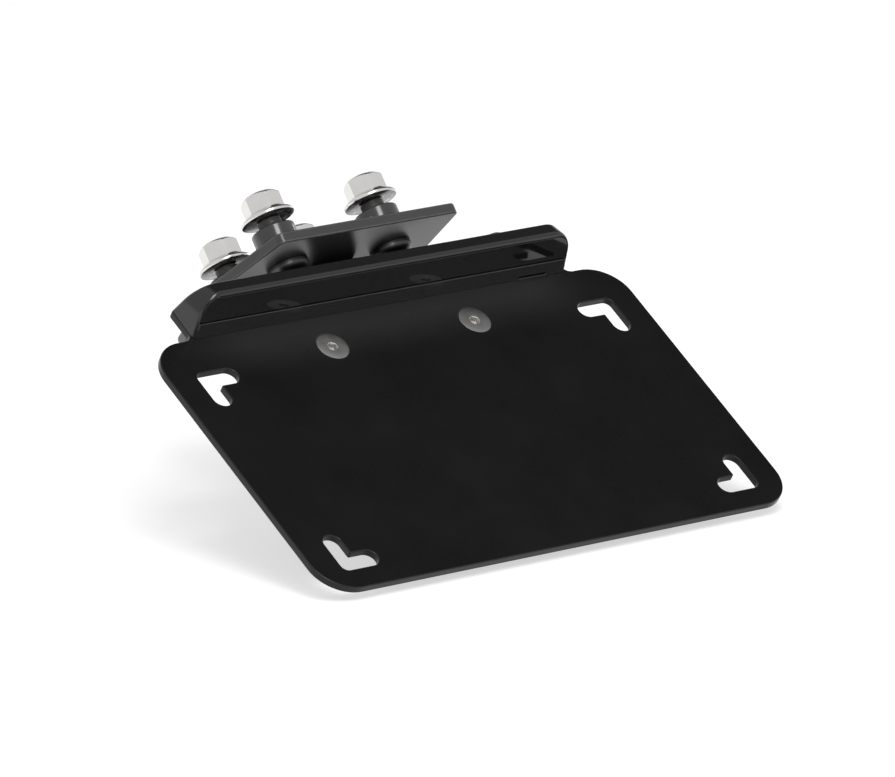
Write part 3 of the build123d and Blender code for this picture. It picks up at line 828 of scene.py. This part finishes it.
class TIDY_OT_hood(bpy.types.Operator):
    """Light hood: the moulded hood, its let-in smoked cover, and the grommet in its roof"""
    bl_idname = "tidy.hood"
    bl_label = "Light hood"

    def execute(self, context):
        sizes, finish = context.scene.tidy_sizes, context.scene.tidy_finish
        hood = softened("light_hood", "hood_shell", sizes.edge_softness * 0.6, segments=2)
        paint(hood, coat_material("Hood coat", finish.coat_colour, 0.16, peel_strength=0.05))
        finish_piece(hood, ["light_hood"])
        cover = softened("light_cover", "hood_cover", sizes.edge_softness * 0.7, segments=2)
        paint(cover, plastic_material("Smoked cover", finish.cover_colour, 0.05, peel=0.01))
        finish_piece(cover, ["light_cover"])
        grommet = softened("lead_grommet", "roof_grommet", 0.0)
        paint(grommet, plastic_material("Grommet rubber", (0.012, 0.012, 0.012), 0.55, peel=0.3))
        finish_piece(grommet, ["lead_grommet"])
        return {"FINISHED"}


class TIDY_OT_light_unit(bpy.types.Operator):
    """Light unit inside the hood: board and diodes"""
    bl_idname = "tidy.light_unit"
    bl_label = "Light unit"

    def execute(self, context):
        lacquer = plastic_material("Board lacquer", (0.010, 0.018, 0.012), 0.35)
        lens = plastic_material("Diode lens", (0.75, 0.72, 0.55), 0.2)
        parts = (("light_board", "circuit_board", "board", lacquer),
                 ("light_diodes", "diodes", "diode", lens))
        for node, name, slot, material in parts:
            piece = softened(node, name, 0.06 * MM, segments=2)
            paint(piece, material)
            finish_piece(piece, [node])
        return {"FINISHED"}


class TIDY_OT_bracket(bpy.types.Operator):
    """Mounting bracket below the tail and the folded support behind the holder"""
    bl_idname = "tidy.bracket"
    bl_label = "Bracket and support"

    def execute(self, context):
        sizes, finish = context.scene.tidy_sizes, context.scene.tidy_finish
        # The bracket takes the black coat three times lighter: painted light on its shaded underside
        coat = coat_material("Bracket coat with painted light", shade(finish.coat_colour, 3), finish.coat_roughness - 0.04)
        for node, name in (("mounting_bracket", "bracket_plate"), ("plate_support", "folded_support")):
            piece = softened(node, name, sizes.edge_softness * 0.8)
            paint(piece, coat)
            finish_piece(piece, [node])
        return {"FINISHED"}


class TIDY_OT_studs(bpy.types.Operator):
    """Studs of the tail: bolts, collars, flanged nuts and their locking rings"""
    bl_idname = "tidy.studs"
    bl_label = "Studs"

    def execute(self, context):
        sizes, finish = context.scene.tidy_sizes, context.scene.tidy_finish
        # The nuts' seat faces take a dark second colour: painted shade under the flanges
        steel = metal_material("Bright steel", tuple(finish.steel_colour), 0.18, bump=0.015, marking=2.0,
                               mark_colour=(0.17, 0.17, 0.168))
        oxide = metal_material("Bolt steel", tuple(finish.oxide_colour), 0.32, bump=0.05)
        thread = metal_material("Thread steel", (0.17, 0.165, 0.16), 0.45, metallic=0.7, bump=0.2)
        gloss = plastic_material("Collar gloss", (0.026, 0.026, 0.027), 0.2, coat_weight=0.3, peel=0.03)
        nylon = plastic_material("Ring nylon", (0.02, 0.02, 0.022), 0.4)
        rear_seat = -COLLAR_TOP_TO_BRACKET - BRACKET_THICKNESS
        front_seat = rear_seat - SUPPORT_THICKNESS

        nuts = patterned("flanged_nuts", nut_mesh(sizes.nut_flats / MM), steel,
                         tail_values(sizes, NUT_SEAT, NUT_SEAT))
        finish_piece(nuts, ["flange_nut_" + stud for stud in STUDS])

        collar = square_ring_mesh("collar", 3.8, 6.8, -COLLAR_TOP_TO_BRACKET, 0.0, 0.45)
        collars = patterned("collars", collar, gloss, tail_values(sizes, 0.0, 0.0))
        finish_piece(collars, ["collar_" + stud for stud in STUDS])

        ring = square_ring_mesh("ring", 3.05, 4.0, 0.0, 1.8, 0.2, segments=72)
        rings = patterned("locking_rings", ring, nylon, tail_values(sizes, RING_SEAT, RING_SEAT))
        finish_piece(rings, ["lock_ring_" + stud for stud in STUDS])

        shank = shank_mesh(sizes.thread_pitch / MM, front_seat - 0.1)
        shanks = patterned("threaded_studs", shank, thread, tail_values(sizes, 0.0, 0.0))
        heads = patterned("bolt_heads", button_head_mesh(), oxide, tail_values(sizes, rear_seat, front_seat))
        finish_piece(shanks, ["mount_bolt_" + stud for stud in STUDS])
        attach(heads, "root")
        return {"FINISHED"}


class TIDY_OT_plate_screws(bpy.types.Operator):
    """Countersunk screws of the holder with washers and nuts, and the screws of the hood"""
    bl_idname = "tidy.plate_screws"
    bl_label = "Plate and hood screws"

    def execute(self, context):
        sizes, finish = context.scene.tidy_sizes, context.scene.tidy_finish
        # The socket faces of the plate screws take a lighter second colour
        dark = metal_material("Screw steel", (0.34, 0.335, 0.33), 0.40, bump=0.08, marking=1.5,
                              mark_colour=(0.62, 0.60, 0.57))
        zinc = metal_material("Zinc steel", (0.5, 0.5, 0.5), 0.33)
        back = -PLATE_THICKNESS - SUPPORT_THICKNESS
        washer_thickness, nut_height, end_beyond_nut = 1.0, 4.7, 0.8
        screw_end = back - washer_thickness - nut_height - end_beyond_nut

        screws = patterned("plate_screws", countersunk_mesh(screw_end), dark,
                           face_values(sizes, PLATE_SCREWS_UP, 0.0))
        finish_piece(screws, ["plate_screw_" + side for side in SIDES])

        washer = square_ring_mesh("washer", 2.75, 5.0, -washer_thickness, 0.0, 0.2, segments=72)
        washers = patterned("plate_washers", washer, zinc, face_values(sizes, PLATE_SCREWS_UP, back))
        finish_piece(washers, ["plate_washer_" + side for side in SIDES])

        nuts = patterned("plate_nuts", plain_nut_mesh(8.0, nut_height), zinc,
                         face_values(sizes, PLATE_SCREWS_UP, back - washer_thickness))
        finish_piece(nuts, ["plate_nut_" + side for side in SIDES])

        hood_screws = patterned("hood_screws", small_screw_mesh(), dark,
                                face_values(sizes, HOOD_SCREWS_UP, back))
        finish_piece(hood_screws, ["hood_screw_" + side for side in SIDES])
        return {"FINISHED"}


# Floor, surroundings, light and camera

def floor_material(colour):
    """Matte floor that also glows for the camera, so that it shows white and keeps its shadow."""
    material, tree, shader = new_material("Studio floor", Roughness=0.9, Specular_IOR_Level=0.1)
    shader.inputs["Base Color"].default_value = opaque(colour)
    path = add_node(tree, "ShaderNodeLightPath")
    seen = add_node(tree, "ShaderNodeMath", [
        (0, path.outputs["Is Camera Ray"]), (1, path.outputs["Is Glossy Ray"])], operation="MAXIMUM")
    level = add_node(tree, "ShaderNodeMath", [(0, seen.outputs[0]), (1, FLOOR_GLOW)], operation="MULTIPLY")
    glow = add_node(tree, "ShaderNodeEmission", [("Color", (1, 1, 1, 1)), ("Strength", level.outputs[0])])
    both = add_node(tree, "ShaderNodeAddShader", [(0, shader.outputs[0]), (1, glow.outputs[0])])
    tree.links.new(both.outputs[0], tree.nodes["Material Output"].inputs["Surface"])
    return material


def lay_floor(stage):
    work = bmesh.new()
    bmesh.ops.create_grid(work, x_segments=1, y_segments=1, size=FLOOR_HALF)
    mesh = bpy.data.meshes.new("floor")
    work.to_mesh(mesh)
    work.free()
    mesh.transform(Matrix.Translation((0, 0, CAD_BOX[0][2] - FLOOR_GAP)))
    mesh.materials.append(floor_material(stage.floor_colour))
    mesh_object("floor", mesh)


def hang_surroundings(scene, stage):
    """White for the camera, and for the object an even light with one dark part."""
    scene.world = bpy.data.worlds.new("Studio")
    scene.world.use_nodes = True
    tree = scene.world.node_tree
    where = add_node(tree, "ShaderNodeTexCoord").outputs["Generated"]
    near = add_node(tree, "ShaderNodeVectorMath", [(0, where), (1, DARK_SKY)], operation="DOT_PRODUCT")
    sky = add_node(tree, "ShaderNodeMapRange", [
        ("Value", near.outputs["Value"]), ("From Min", DARK_OUTER), ("From Max", DARK_INNER),
        ("To Min", stage.world_level), ("To Max", stage.dark_level)], interpolation_type="SMOOTHSTEP")
    path = add_node(tree, "ShaderNodeLightPath")
    level = add_node(tree, "ShaderNodeMapRange", [
        ("Value", path.outputs["Is Camera Ray"]), ("To Min", sky.outputs[0]), ("To Max", 1.0)])
    feed_inputs(tree, tree.nodes["Background"], [("Color", (1, 1, 1, 1)), ("Strength", level.outputs[0])])


def hang_key_light(scene, stage):
    lamp = bpy.data.lights.new("Key", "AREA")
    lamp.shape = "RECTANGLE"
    lamp.size, lamp.size_y = KEY_SIZE
    lamp.energy = stage.key_power
    item = bpy.data.objects.new("Key", lamp)
    scene.collection.objects.link(item)
    item.location = KEY_PLACE
    item.rotation_euler = (Vector(KEY_TARGET) - Vector(KEY_PLACE)).to_track_quat("-Z", "Y").to_euler()


def set_up_camera(scene):
    """Camera at the photograph's angle, aimed at the middle of the holder."""
    lens = bpy.data.cameras.new("Camera")
    camera = bpy.data.objects.new("Camera", lens)
    scene.collection.objects.link(camera)
    aim = face_matrix() @ Vector((0, HOLDER_MIDDLE_UP * MM, 0))
    turn = Matrix(CAMERA_AXES).transposed().to_4x4()
    camera.matrix_world = Matrix.Translation(aim + Vector(CAMERA_AXES[2]) * CAMERA_DISTANCE) @ turn
    lens.sensor_fit = "HORIZONTAL"
    lens.sensor_width = SENSOR
    lens.lens = FOCAL_PIXELS / PHOTO_WIDTH * SENSOR
    lens.shift_x = -SHIFT_PIXELS[0] / PHOTO_WIDTH
    lens.shift_y = SHIFT_PIXELS[1] / PHOTO_WIDTH
    lens.clip_end = 20.0
    scene.camera = camera


class TIDY_OT_stage(bpy.types.Operator):
    """Floor, surroundings, light and the camera at the photograph's angle"""
    bl_idname = "tidy.stage"
    bl_label = "Stage"

    def execute(self, context):
        scene, stage = context.scene, context.scene.tidy_stage
        lay_floor(stage)
        hang_surroundings(scene, stage)
        hang_key_light(scene, stage)
        set_up_camera(scene)
        scene.view_settings.view_transform = "Standard"
        return {"FINISHED"}


class TIDY_PT_panel(bpy.types.Panel):
    """Lists the pieces of the tail tidy and their sizes and finishes"""
    bl_idname = "TIDY_PT_panel"
    bl_label = "Tail tidy"
    bl_space_type = "VIEW_3D"
    bl_region_type = "UI"
    bl_category = "Tail tidy"

    def draw(self, context):
        layout = self.layout
        for group in (context.scene.tidy_sizes, context.scene.tidy_finish, context.scene.tidy_stage):
            box = layout.box()
            for key in group.__annotations__:
                box.prop(group, key)
        for operator in OPERATORS:
            layout.operator(operator.bl_idname)


OPERATORS = (TIDY_OT_holder, TIDY_OT_hood, TIDY_OT_light_unit, TIDY_OT_bracket, TIDY_OT_studs,
             TIDY_OT_plate_screws, TIDY_OT_stage)
GROUP_CLASSES = (("tidy_sizes", TidySizes), ("tidy_finish", TidyFinish), ("tidy_stage", TidyStage))


def register():
    for name, group in GROUP_CLASSES:
        bpy.utils.register_class(group)
        setattr(bpy.types.Scene, name, bpy.props.PointerProperty(type=group))
    for item in OPERATORS + (TIDY_PT_panel,):
        bpy.utils.register_class(item)


def unregister():
    for item in reversed(OPERATORS + (TIDY_PT_panel,)):
        bpy.utils.unregister_class(item)
    for name, group in reversed(GROUP_CLASSES):
        delattr(bpy.types.Scene, name)
        bpy.utils.unregister_class(group)


def main():
    register()
    for operator in OPERATORS:
        area, name = operator.bl_idname.split(".")
        getattr(getattr(bpy.ops, area), name)()


if __name__ == "__main__":
    main()
